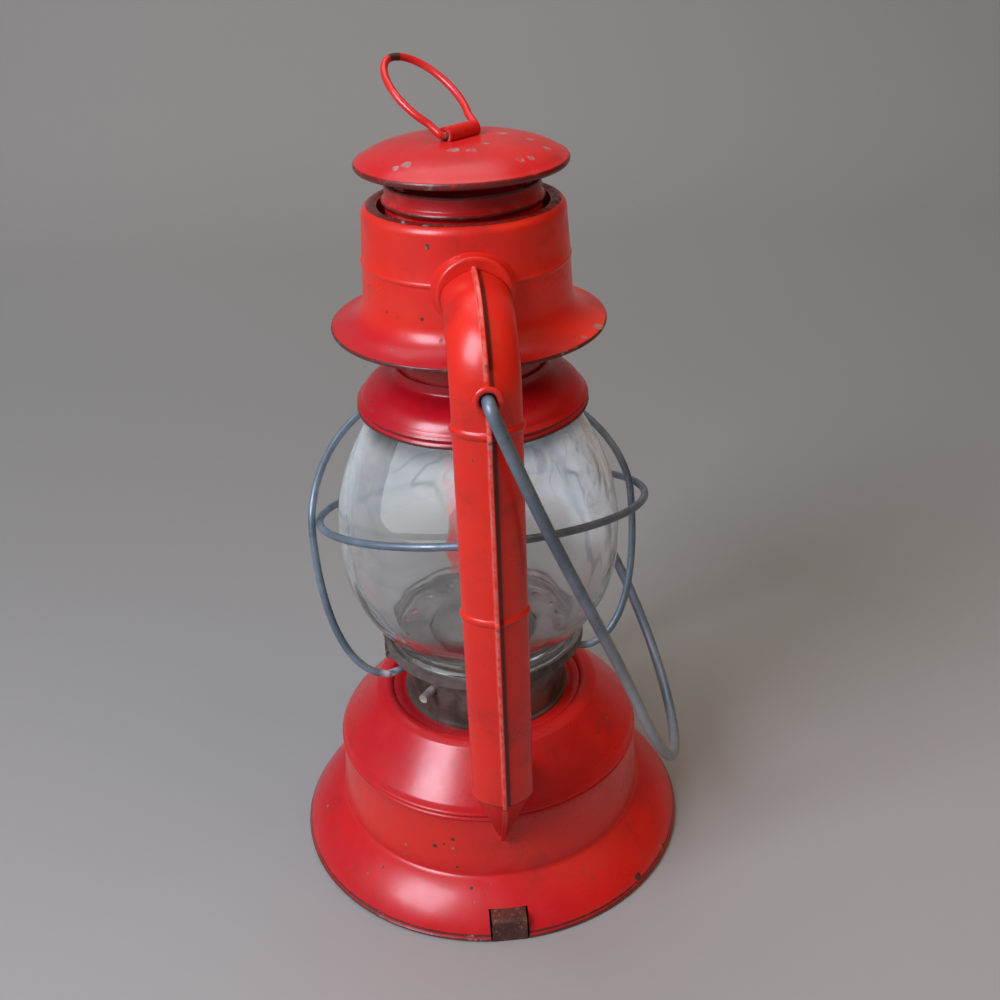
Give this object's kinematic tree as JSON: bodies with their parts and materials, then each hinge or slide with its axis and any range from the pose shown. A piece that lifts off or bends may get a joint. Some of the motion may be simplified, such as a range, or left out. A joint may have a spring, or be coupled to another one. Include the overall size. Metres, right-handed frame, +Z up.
{
  "type": "kerosene lantern",
  "caption": "Small tubular kerosene lantern: flared tank, burner under a clear globe in a wire guard, lifting chimney in a hood, side air tubes and a swinging wire bail.",
  "frame": {"origin": "middle of the base, on the ground", "axes": "+Z up; the air tubes stand on +X and -X; the bail hangs on +Y; the notch in the hem faces +X"},
  "size_m": [0.128, 0.1186, 0.2281],
  "materials": {
    "red_enamel": "glossy enamel over steel, chipped and worn at its edges",
    "bare_steel": "dull plated steel",
    "rusty_steel": "rusted sheet steel",
    "burner_metal": "tarnished and sooty",
    "galvanised_wire": "dull blue-grey galvanised wire",
    "clear_glass": "clear pressed glass, slightly wavy",
    "cotton_wick": "woven cotton, scorched at the top",
    "gasket": "dull"
  },
  "bodies": {
    "frame": {"tank_side": "red_enamel", "tank_top": "red_enamel", "tank_bottom": "bare_steel", "air_pan": "bare_steel", "base_clip": "rusty_steel", "filler_neck": "bare_steel", "burner_collar": "burner_metal", "burner_floor": "burner_metal", "burner_cone": "burner_metal", "wick_tube": "burner_metal", "hinge_ears": "burner_metal", "hinge_pin": "bare_steel", "tube_foot_right": "red_enamel", "tube_foot_left": "red_enamel", "air_tube_right": "red_enamel", "air_tube_left": "red_enamel", "tube_collars": "red_enamel", "bail_eyelets": "rusty_steel", "hood": "red_enamel", "hood_floor": "red_enamel"},
    "chimney": {"chimney": "red_enamel", "bell": "red_enamel", "cap": "red_enamel", "cap_legs": "red_enamel", "ring_saddle": "red_enamel"},
    "lift_ring": {"lift_ring": "red_enamel"},
    "globe": {"globe_plate": "burner_metal", "globe": "clear_glass", "guard_ring": "galvanised_wire", "guard_bow": "galvanised_wire"},
    "bail": {"bail": "galvanised_wire"},
    "spindle": {"wick_shaft": "bare_steel", "wick_wheels": "burner_metal", "wick_knob": "bare_steel"},
    "wick": {"wick": "cotton_wick"},
    "filler_cap": {"filler_cap": "red_enamel", "filler_gasket": "gasket"}
  },
  "joints": [
    {"name": "chimney_lift", "type": "slide", "parent": "frame", "child": "chimney", "axis": [0, 0, 1], "range_m": [0, 0.017]},
    {"name": "lift_ring_fold", "type": "hinge", "parent": "chimney", "child": "lift_ring", "pos_m": [0, 0, 0.21185], "axis": [-0.6561, 0.7547, 0], "range_deg": [0, 115]},
    {"name": "globe_tilt", "type": "hinge", "parent": "frame", "child": "globe", "pos_m": [0, -0.0279, 0.064], "axis": [1, 0, 0], "range_deg": [0, 12.5]},
    {"name": "bail_swing", "type": "hinge", "parent": "frame", "child": "bail", "pos_m": [0, 0, 0.1669], "axis": [1, 0, 0], "range_deg": [-3, 316]},
    {"name": "wick_turn", "type": "hinge", "parent": "frame", "child": "spindle", "pos_m": [-0.00241, -0.00344, 0.0585], "axis": [0.8192, -0.5736, 0], "range_deg": [-120, 155]},
    {"name": "wick_raise", "type": "slide", "parent": "frame", "child": "wick", "axis": [0, 0, 1], "range_m": [-0.006, 0.0078]},
    {"name": "filler_cap_off", "type": "slide", "parent": "frame", "child": "filler_cap", "axis": [-0.6233, -0.4047, 0.6691], "range_m": [0, 0.01]}
  ],
  "couplings": [
    {"joint": "globe_tilt", "follows": "chimney_lift", "rad_per_m": 12.832},
    {"joint": "wick_turn", "follows": "wick_raise", "rad_per_m": 333.33}
  ]
}
